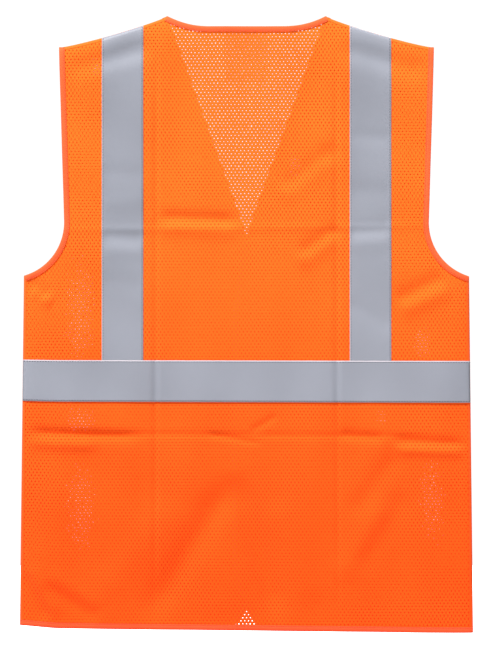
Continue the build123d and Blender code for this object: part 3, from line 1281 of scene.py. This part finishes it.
HOOK_NAP = Cloth(
    "hook_and_loop_nap", (0.95, 0.150, 0.026), (0.78, 0.100, 0.016), warp=620.0, weft=620.0,
    relief=0.0005, roughness=0.9, sheen=0.3, glow=0.06, mottle=1.6, mottle_scale=60.0,
    u_scale=0.024,
)
# The label's glow is painted light, lifting it where it shows through the holes
LABEL_SATIN = Cloth(
    "label_satin", (0.88, 0.88, 0.86), (0.82, 0.82, 0.80), warp=1800.0, weft=900.0,
    relief=0.00006, roughness=0.55, sheen=0.1, specular=0.4, glow=0.50, through=0.55, u_scale=0.05,
)


# ---------------------------------------------------------------- the vest


@dataclass
class Bend:
    """Where a front's cloth turns, in millimetres either side of its hinge line."""

    before: float = 2.0
    after: float = 24.0


@dataclass
class Vest:
    """What every sub-assembly shares: the pattern, the drape, and the joints' places."""

    pattern: Pattern
    drape: Drape
    hinge: dict
    bend: Bend

    @classmethod
    def from_frame(cls) -> "Vest":
        """Read the layers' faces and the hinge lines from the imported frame.

        Returns:
            The vest's shared sizes.
        """
        pattern = Pattern()
        half = 0.5 * (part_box("back_panel")[1].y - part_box("back_panel")[0].y)
        back_face = (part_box("back_panel")[0].y + half) / MM
        fronts = {
            side: -(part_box(f"{side.word}_front_side")[0].y + half) / MM for side in Side
        }
        hinge = {
            side: joint["pos_m"]
            for side in Side
            for joint in frame["joints"]
            if joint["name"] == f"{side.word}_front_open"
        }
        return cls(pattern, Drape(pattern, back_face, fronts), hinge, Bend())

    def settle(self, piece: bpy.types.Object, slot: str, *replaced: str) -> bpy.types.Object:
        """Hide the CAD nodes that a piece stands for.

        Args:
            piece: The piece.
            slot: The record's material slot; not used.
            replaced: The CAD nodes.

        Returns:
            The piece.
        """
        if replaced:
            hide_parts(*replaced)
        return piece

    def fixed(self, piece: bpy.types.Object) -> bpy.types.Object:
        """Let a piece stay with the back."""
        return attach(piece, "root")

    def turning(self, piece: bpy.types.Object, side: Side) -> bpy.types.Object:
        """Bake a piece's transform into its points.

        Args:
            piece: The piece.
            side: The wearer's side; not used.

        Returns:
            The piece.
        """
        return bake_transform(piece)


@dataclass(frozen=True)
class Band:
    """A patch, half_width by half_height about x, z, where the two cloths' holes line up."""

    x: float
    z: float
    half_width: float
    half_height: float
    most: float = 0.82
    fall: float = 0.6

    def share(self, x: Array, z: Array) -> Array:
        """Most in the middle, falling to 0 as a bell of the distance in half sizes."""
        off = ((x - self.x) / self.half_width) ** 2 + ((z - self.z) / self.half_height) ** 2
        return self.most * np.exp(-self.fall * off**1.5)


@dataclass
class Panels:
    """The perforated cloths: the back and the two fronts.

    Both knit the same lattice. A front's holes lie half a pitch over from the back's, except in
    its bands, where the cloth is drawn across and the two sets come into line.
    """

    vest: Vest
    pitch: float = 4.6
    row: float = 3.75
    front_hole: float = 0.49
    front_uneven: float = 0.26
    turn: float = -0.25
    back_origin: tuple = (204.0, -353.0)
    left_bands: tuple = (
        Band(204, -362, 21, 72), Band(203, -495, 20, 16),
        Band(201, -602, 21, 62), Band(185, -60, 10, 12),
    )
    right_bands: tuple = (
        Band(-216, -400, 12, 24), Band(-166, -492, 10, 14),
        Band(-229, -590, 18, 60), Band(-60, -180, 9, 14),
    )
    left_wider: float = 1.0044
    right_wider: float = 1.0035
    middle: tuple = (0.6, -383.2)

    def _bands(self, side: Side) -> tuple:
        """A front's bands."""
        return self.left_bands if side is Side.LEFT else self.right_bands

    def _front_lattice(self, side: Side, back: Lattice) -> tuple:
        """A front's lattice, a little wider for its depth, and where one hole is centred.

        Args:
            side: The wearer's side.
            back: The back's lattice.

        Returns:
            The lattice, and the hole's x and z.
        """
        wider = self.left_wider if side is Side.LEFT else self.right_wider
        band = self._bands(side)[0]
        met = back.nearest_hole((band.x, band.z), self.back_origin)
        origin = tuple(m + (p - m) * wider for m, p in zip(self.middle, met))
        lattice = Lattice(self.pitch * wider, self.row * wider, self.front_hole, back.turn,
                          self.front_uneven)
        return lattice, origin

    def _drawn(self, side: Side) -> Depth:
        """How far a front's holes are drawn across, as a function of x and z.

        Args:
            side: The wearer's side.

        Returns:
            The function of x and z.
        """

        def across(x: Array, z: Array) -> Array:
            """Half a pitch, less the strongest band's share of it."""
            share = np.max([band.share(x, z) for band in self._bands(side)], axis=0)
            return 0.5 * self.pitch * (1.0 - share)

        return across

    def build(self) -> dict:
        """Cut, drape and dress the three cloths.

        Returns:
            The back cloth under None and each front under its side.
        """
        cloth, front_cloth = MESH_CLOTH.material(), FRONT_MESH_CLOTH.material()
        drape, pattern = self.vest.drape, self.vest.pattern
        back = Lattice(pitch=self.pitch, row=self.row, turn=math.radians(self.turn))
        piece = self._sheet("back_cloth", back, self.back_origin, pattern.back(), drape.back, cloth)
        made = {None: self.vest.fixed(self.vest.settle(piece, "mesh_cloth", "back_panel"))}
        for side in Side:
            word = side.word
            lattice, origin = self._front_lattice(side, back)
            outline, depth = pattern.front(side), drape.front(side)
            piece = self._sheet(f"{word}_front_cloth", lattice, origin, outline, depth,
                                front_cloth, self._drawn(side))
            self.vest.settle(piece, "mesh_cloth", f"{word}_front_side", f"{word}_front_flap")
            made[side] = self.vest.turning(piece, side)
        return made

    def _sheet(self, name: str, lattice: Lattice, origin: tuple, outline: Array, depth: Depth,
               cloth: bpy.types.Material, drawn: Optional[Depth] = None) -> bpy.types.Object:
        """One perforated cloth, with u and v as its flat place in metres.

        Args:
            name: The piece's name.
            lattice: Its holes.
            origin: Where one hole is centred.
            outline: Its closed outline.
            depth: Its place along y.
            cloth: Its finish.
            drawn: For a front, how far its holes are drawn across.

        Returns:
            The piece.
        """
        flat, faces, uv = lattice.sheet(outline, origin, drawn)
        points = self.vest.drape.place(flat[:, 0], depth(flat[:, 0], flat[:, 1]), flat[:, 1])
        if drawn is not None:
            faces = [f[:, ::-1] for f in faces]
        return make_piece(name, points, faces, cloth, uv)


@dataclass
class Tapes:
    """The reflective tapes, sewn flat on the cloth along both edges."""

    vest: Vest
    lift: float = 0.5
    over: float = 0.45
    thickness: float = 0.35
    stitch_lift: float = 0.05
    tuck: float = 5.0
    stitch_gap: float = 0.5
    front_margin: float = 5.0
    step: float = 2.2
    columns: int = 23
    sewn_in: float = 1.7
    stitching: Stitching = Stitching()

    @property
    def on_tape(self) -> float:
        """How far a tape's stitches stand off the cloth."""
        return self.lift + self.thickness + self.stitch_lift

    def _tape(self, name: str, x: Array, z: Array, depth: Depth, out: float,
              face: bpy.types.Material, turned: bool) -> bpy.types.Object:
        """A tape on a grid of places, standing off the cloth by out.

        Args:
            name: The piece's name.
            x: The grid's places, a row for each step along the tape.
            z: The same for z.
            depth: The cloth's place along y.
            out: How far it stands off the cloth, towards the back if above 0.
            face: Its finish.
            turned: True to face it the other way.

        Returns:
            The piece, with a wall.
        """
        rows, columns = x.shape
        points = self.vest.drape.place(x, depth(x, z) + out, z)
        middle = np.stack([x[:, columns // 2], z[:, columns // 2]], axis=1)
        uv = strip_uv(np.linspace(0, 1, columns), path_length(middle) * MM)
        piece = make_piece(name, points, [grid_faces(rows, columns, turned)], face, uv)
        wall = piece.modifiers.new("wall", "SOLIDIFY")
        wall.thickness = self.thickness * MM
        wall.offset = 1.0
        return piece

    def _upright(self, low: float, high: float, foot: float) -> tuple:
        """A grid from the shoulder line down to foot, between two places across.

        Args:
            low: The least x.
            high: The greatest x.
            foot: The z of its foot.

        Returns:
            The grid's x and z.
        """
        count = int(-foot / self.step)
        across = np.linspace(low, high, self.columns)
        share = np.linspace(0.0, 1.0, count)[:, None]
        top = self.vest.pattern.shoulder_z(across)
        return np.broadcast_to(across, (count, self.columns)).copy(), top + (foot - top) * share

    def _level(self, start: float, end: float, high: float, low: float) -> tuple:
        """A grid along the waist from start to end, its ends cut to the side line.

        Args:
            start: The first x.
            end: The last x.
            high: The top's z.
            low: The foot's z.

        Returns:
            The grid's x and z.
        """
        count = int(abs(end - start) / self.step)
        z = np.linspace(high, low, self.columns)
        side = self.vest.pattern.side_x(z)
        first = np.clip(start, -side, side)
        last = np.clip(end, -side, side)
        share = np.linspace(0.0, 1.0, count)[:, None]
        return first + (last - first) * share, np.broadcast_to(z, (count, self.columns)).copy()

    def _sew(self, x: Array, z: Array, depth: Depth, out: float) -> tuple:
        """The two rows of stitches of one tape, from its grid.

        Args:
            x: The tape's grid.
            z: The same for z.
            depth: The cloth's place along y.
            out: How far the stitches stand off it.

        Returns:
            Points and faces.
        """
        width = math.hypot(x[0, -1] - x[0, 0], z[0, -1] - z[0, 0])
        share = self.sewn_in / width
        rows = []
        for edge, inner in ((0, -1), (-1, 0)):
            px = x[:, edge] + (x[:, inner] - x[:, edge]) * share
            pz = z[:, edge] + (z[:, inner] - z[:, edge]) * share
            rows.append(np.stack([px, pz], axis=1))
        return self.stitching.rows(rows, depth, out, self.vest.drape)

    def build(self) -> dict:
        """Make, sew and dress every tape.

        Returns:
            The pieces that go with the back under None, and with each front under its side.
        """
        face, thread = TAPE_CLOTH.material(), GREY_THREAD.material()
        vest, back = self.vest, self.vest.drape.back
        low, high = (c.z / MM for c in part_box("back_waist_tape"))
        reach = vest.pattern.hem_half
        x, z = self._level(reach, -reach, high, low)
        waist = self._tape("back_waist_reflective", x, z, back, self.lift + self.over, face, False)
        made: dict = {None: [vest.settle(waist, "reflective_tape", "back_waist_tape")]}
        sewn = [self._sew(x, z, back, self.on_tape + self.over)]
        for side in Side:
            node = f"{side.word}_back_tape"
            inner, outer = (c.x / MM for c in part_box(node))
            x, z = self._upright(inner, outer, high - self.tuck)
            tape = self._tape(f"{side.word}_back_reflective", x, z, back, self.lift, face, False)
            made[None].append(vest.settle(tape, "reflective_tape", node))
            x, z = self._upright(inner, outer, high - self.stitch_gap)
            sewn.append(self._sew(x, z, back, self.on_tape))
        points, faces, _ = merged(sewn)
        stitches = make_piece("back_tape_stitches", points, faces, thread)
        made[None].append(vest.settle(stitches, "seam_thread"))
        for piece in made[None]:
            vest.fixed(piece)
        for side in Side:
            made[side] = self._front(side, face, thread, high, low)
        return made

    def _front(self, side: Side, face: bpy.types.Material, thread: bpy.types.Material,
               waist_high: float, waist_low: float) -> list:
        """One front's upright and waist tapes and their stitches.

        Args:
            side: The wearer's side.
            face: The tape's finish.
            thread: The stitches' finish.
            waist_high: The waist tape's top.
            waist_low: The waist tape's foot.

        Returns:
            The tapes and rows of stitches.
        """
        vest, word, depth = self.vest, side.word, self.vest.drape.front(side)
        node = f"{word}_front_tape"
        low, high = (c.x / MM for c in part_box(node))
        x, z = self._upright(low, high, waist_high - self.tuck)
        upright = self._tape(f"{word}_front_reflective", x, z, depth, -self.lift, face, True)
        vest.settle(upright, "reflective_tape", node)
        x, z = self._upright(low, high, waist_high - self.stitch_gap)
        points, faces = self._sew(x, z, depth, -self.on_tape)
        fixed_row = make_piece(f"{word}_front_tape_stitches", points, faces, thread)
        edge = -side.value * (vest.pattern.overlap_half - self.front_margin)
        x, z = self._level(side.value * vest.pattern.hem_half, edge, waist_high, waist_low)
        level = self._tape(f"{word}_waist_reflective", x, z, depth, -(self.lift + self.over), face,
                           side is Side.LEFT)
        tapes = (f"{word}_side_waist_tape", f"{word}_flap_waist_tape")
        vest.settle(level, "reflective_tape", *tapes)
        points, faces = self._sew(x, z, depth, -self.on_tape - self.over)
        row = make_piece(f"{word}_waist_stitches", points, faces, thread)
        for stitches in (fixed_row, row):
            vest.settle(stitches, "seam_thread")
        for piece in (upright, fixed_row):
            vest.fixed(piece)
        for piece in (level, row):
            vest.turning(piece, side)
        return [upright, fixed_row, level, row]


@dataclass
class Trims:
    """The bindings folded over the raw edges, the seams, and the stitches that hold them."""

    vest: Vest
    trim: Trim = Trim(width=6.5, wall=1.05, groove=5.3, nose=0.4, pucker=0.10)
    roll: SeamRoll = SeamRoll()
    stitching: Stitching = Stitching(pitch=3.0, length=2.2, half_width=0.26, half_height=0.2)
    stitch_height: float = 0.78

    def _bound(self, name: str, runs: Sequence[tuple], finishes: tuple, *nodes: str) -> list:
        """A binding along one or more edges, and its stitches on both faces.

        Args:
            name: The piece's name.
            runs: For each edge its path, the side of it that the cloth is on, and its depth.
            finishes: The binding's finish and its thread's.
            nodes: The CAD nodes that the binding stands for.

        Returns:
            The binding and its stitches.
        """
        drape = self.vest.drape
        strips, sewn = [], []
        lift = self.trim.wall * self.stitch_height
        for seed, (path, hand, depth) in enumerate(runs):
            strips.append(self.trim.along(path, hand, depth, drape, seed))
            line = self.trim.stitch_line(path, hand)
            for face in (1, -1):
                sewn.append(self.stitching.rows([line], depth, face * lift, drape))
        points, faces, uv = merged(strips)
        binding = make_piece(name, points, faces, finishes[0], uv)
        points, faces, _ = merged(sewn)
        stitches = make_piece(f"{name}_stitches", points, faces, finishes[1])
        self.vest.settle(binding, "edge_binding", *nodes)
        self.vest.settle(stitches, "seam_thread")
        return [binding, stitches]

    def build(self) -> dict:
        """Make and dress the bindings and seams.

        Returns:
            The pieces that go with the back under None, and with each front under its side.
        """
        finishes = (BINDING_CLOTH.material(), ORANGE_THREAD.material())
        seam = SEAM_CLOTH.material()
        vest, pattern, back = self.vest, self.vest.pattern, self.vest.drape.back
        hem = pattern.hem(pattern.hem_half, -pattern.hem_half)
        made: dict = {None: []}
        made[None] += self._bound("back_hem_trim", [(hem, 1, back)], finishes, "back_hem_binding")
        neck = pattern.back_neck()
        made[None] += self._bound("neck_trim", [(neck, -1, back)], finishes, "neck_binding")
        for side in Side:
            word, hand, front = side.word, side.value, vest.drape.front(side)
            hole = pattern.armhole(side)
            runs = [(hole, hand, back), (hole, hand, front)]
            node = f"{word}_armhole_binding"
            made[None] += self._bound(f"{word}_armhole_trim", runs, finishes, node)
            seams = {"side": pattern.side_line(side), "shoulder": pattern.shoulder(side)}
            for kind, path in seams.items():
                points, faces, uv = self.roll.along(path, hand, back, front, vest.drape)
                roll = make_piece(f"{word}_{kind}_roll", points, [faces], seam, uv)
                made[None].append(vest.settle(roll, "seam_thread", f"{word}_{kind}_seam"))
            edge = pattern.front_edge(side)
            edge = joined(edge, pattern.hem(edge[-1, 0], side.value * pattern.hem_half))
            nodes = (f"{word}_edge_binding", f"{word}_front_hem_binding")
            made[side] = self._bound(f"{word}_edge_trim", [(edge, -hand, front)], finishes, *nodes)
            for piece in made[side]:
                vest.turning(piece, side)
        for piece in made[None]:
            vest.fixed(piece)
        return made


@dataclass
class Closure:
    """The hook strip inside the left front and the loop strip outside the right one."""

    vest: Vest
    strip: float = 0.9
    foot: float = 0.12
    edge_round: float = 1.1
    rows: int = 130
    columns: int = 25

    def build(self) -> list:
        """Make both strips, each a rounded pad on its front's face.

        Returns:
            Both strips.
        """
        nap = HOOK_NAP.material()
        return [self._strip("left_hooks", "left_hook_strip", Side.LEFT, 1.0, nap),
                self._strip("right_loops", "right_loop_strip", Side.RIGHT, -1.0, nap)]

    def _strip(self, name: str, node: str, side: Side, out: float,
               nap: bpy.types.Material) -> bpy.types.Object:
        """One strip: a grid that falls to the cloth over its last millimetre on every edge.

        Args:
            name: The piece's name.
            node: The CAD node that it stands for.
            side: The front that it is sewn to.
            out: 1 if it stands towards the back, -1 if towards the front.
            nap: Its finish.

        Returns:
            The piece.
        """
        low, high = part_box(node)
        across = np.linspace(low.x, high.x, self.columns) / MM
        along = np.linspace(high.z, low.z, self.rows) / MM
        x, z = np.meshgrid(across, along)
        edge = np.min([x - x.min(), x.max() - x, z - z.min(), z.max() - z], axis=0)
        height = self.foot + self.strip * quarter_round(edge / self.edge_round)
        y = self.vest.drape.front(side)(x, z) + out * height
        uv = strip_uv(np.linspace(0, 1, self.columns), (along[0] - along) * MM)
        points = self.vest.drape.place(x, y, z)
        faces = [grid_faces(self.rows, self.columns, turned=out < 0)]
        piece = make_piece(name, points, faces, nap, uv)
        self.vest.settle(piece, "closure_strip", node)
        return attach(piece, f"{side.word}_front")


@dataclass
class Label:
    """The blank label that hangs inside the back neck."""

    vest: Vest
    sewn_gap: float = 0.7
    behind: float = 0.7
    curl: float = 2.2
    below_trim: float = 0.6
    quickness: float = 4.0
    wall: float = 0.25
    rows: int = 31
    columns: int = 26

    def build(self) -> bpy.types.Object:
        """A sheet sewn just off the back's face, that hangs away and curls in as it falls.

        Returns:
            The label, with a wall.
        """
        low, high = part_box("neck_label")
        across = np.linspace(low.x, high.x, self.columns) / MM
        along = np.linspace(high.z / MM - self.below_trim, low.z / MM, self.rows)
        x, z = np.meshgrid(across, along)
        fall = (along[0] - z) / (along[0] - along[-1])
        away = self.sewn_gap + self.behind * smooth(self.quickness * fall) + self.curl * fall**2
        y = self.vest.drape.back(x, z) - away
        uv = strip_uv(np.linspace(0, 1, self.columns), (along[0] - along) * MM)
        faces = [grid_faces(self.rows, self.columns)]
        points = self.vest.drape.place(x, y, z)
        piece = make_piece("hang_label", points, faces, LABEL_SATIN.material(), uv)
        wall = piece.modifiers.new("wall", "SOLIDIFY")
        wall.thickness = self.wall * MM
        self.vest.settle(piece, "label_cloth", "neck_label")
        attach(piece, "label")
        return piece


def declare_cloths(vest: Vest, cloths: dict, *others: dict) -> None:
    """Work out each cloth's flat outline.

    Args:
        vest: The shared sizes.
        cloths: The back under None and each front under its side; not used.
        others: The pieces that go with them, kept the same way; not used.
    """
    outlines = {None: vest.pattern.back(), **{side: vest.pattern.front(side) for side in Side}}


@dataclass
class Studio:
    """The floor, the lights and the camera."""

    aim: tuple = (0.0006, 0.0, -0.3832)
    distance: float = 4.0
    frame_height: float = 0.8066
    sensor: float = 36.0
    floor_drop: float = 0.86
    floor_half: float = 2.6
    key: float = 5.3
    key_lean: float = 30.0
    key_turn: float = -30.0
    key_spread: float = 14.0
    far_place: tuple = (-0.7, -2.4, 1.6)
    far_size: float = 1.8
    far_power: float = 60.0
    fill: float = 0.29
    fill_tone: tuple = (0.97, 0.98, 1.0, 1.0)
    backdrop: float = 1.05
    floor_glow: float = 0.74

    def _light(self, name: str, place: tuple, size: float, power: float) -> None:
        """A square soft light aimed at the middle of the vest.

        Args:
            name: The light's name.
            place: Where it stands, in metres.
            size: Its side in metres.
            power: Its power in watts.
        """
        data = bpy.data.lights.new(name, "AREA")
        data.size = size
        data.energy = power
        lamp = bpy.data.objects.new(name, data)
        bpy.context.scene.collection.objects.link(lamp)
        lamp.location = place
        way = np.array(self.aim) - np.array(place)
        turn_z = math.atan2(way[1], way[0]) - math.pi / 2
        turn_x = math.atan2(math.hypot(way[0], way[1]), -way[2])
        lamp.rotation_euler = (turn_x, 0.0, turn_z)

    def build(self) -> None:
        """Set the room up, looking at the vest's back."""
        scene = bpy.context.scene
        scene.view_settings.view_transform = "Standard"
        world = bpy.data.worlds.new("studio")
        world.use_nodes = True
        scene.world = world
        recipe = Recipe(world.node_tree)
        white = (1.0, 1.0, 1.0, 1.0)
        seen = recipe.node("ShaderNodeBackground", {0: white, 1: self.backdrop}).outputs[0]
        fill = recipe.node("ShaderNodeBackground", {0: self.fill_tone, 1: self.fill}).outputs[0]
        path = recipe.node("ShaderNodeLightPath").outputs["Is Camera Ray"]
        both = recipe.node("ShaderNodeMixShader", {0: path, 1: fill, 2: seen}).outputs[0]
        recipe.node("ShaderNodeOutputWorld", {0: both})
        sun = bpy.data.lights.new("key", "SUN")
        sun.energy = self.key
        sun.angle = math.radians(self.key_spread)
        lamp = bpy.data.objects.new("key", sun)
        scene.collection.objects.link(lamp)
        lamp.rotation_euler = (math.radians(-self.key_lean), 0.0, math.radians(self.key_turn))
        self._light("far_side", self.far_place, self.far_size, self.far_power)
        camera = bpy.data.cameras.new("camera")
        camera.sensor_fit = "VERTICAL"
        camera.sensor_height = self.sensor
        camera.lens = self.sensor * self.distance / self.frame_height
        seat = bpy.data.objects.new("camera", camera)
        scene.collection.objects.link(seat)
        seat.location = (self.aim[0], self.distance, self.aim[2])
        seat.rotation_euler = (math.pi / 2, 0.0, math.pi)
        scene.camera = seat
        self._floor()

    def _floor(self) -> None:
        """A plain pale floor under the vest."""
        made = bpy.data.materials.new("pale_floor")
        made.use_nodes = True
        recipe = Recipe(made.node_tree)
        dull = recipe.node("ShaderNodeBsdfPrincipled", {
            "Base Color": (0.45, 0.45, 0.45, 1), "Roughness": 0.9, "Specular IOR Level": 0.1,
        }).outputs[0]
        pale = recipe.node("ShaderNodeBsdfPrincipled", {
            "Base Color": (0.86, 0.86, 0.86, 1), "Roughness": 0.9, "Specular IOR Level": 0.1,
            "Emission Color": (1, 1, 1, 1), "Emission Strength": self.floor_glow,
        }).outputs[0]
        seen = recipe.node("ShaderNodeLightPath").outputs["Is Camera Ray"]
        surface = recipe.node("ShaderNodeMixShader", {0: seen, 1: dull, 2: pale}).outputs[0]
        recipe.node("ShaderNodeOutputMaterial", {0: surface})
        h = self.floor_half
        x, y = np.meshgrid(np.linspace(-h, h, 9), np.linspace(-h, h, 9))
        points = np.stack([x.ravel(), y.ravel(), np.full(x.size, -self.floor_drop)], axis=1)
        make_piece("floor", points, [grid_faces(9, 9)], made)


def main() -> None:
    """Build the vest, piece by piece, in its studio."""
    logging.basicConfig(level=logging.INFO)
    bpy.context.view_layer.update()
    Studio().build()
    vest = Vest.from_frame()
    cloths = Panels(vest).build()
    tapes = Tapes(vest).build()
    trims = Trims(vest).build()
    Closure(vest).build()
    Label(vest).build()
    declare_cloths(vest, cloths, tapes, trims)


if __name__ == "__main__":
    main()
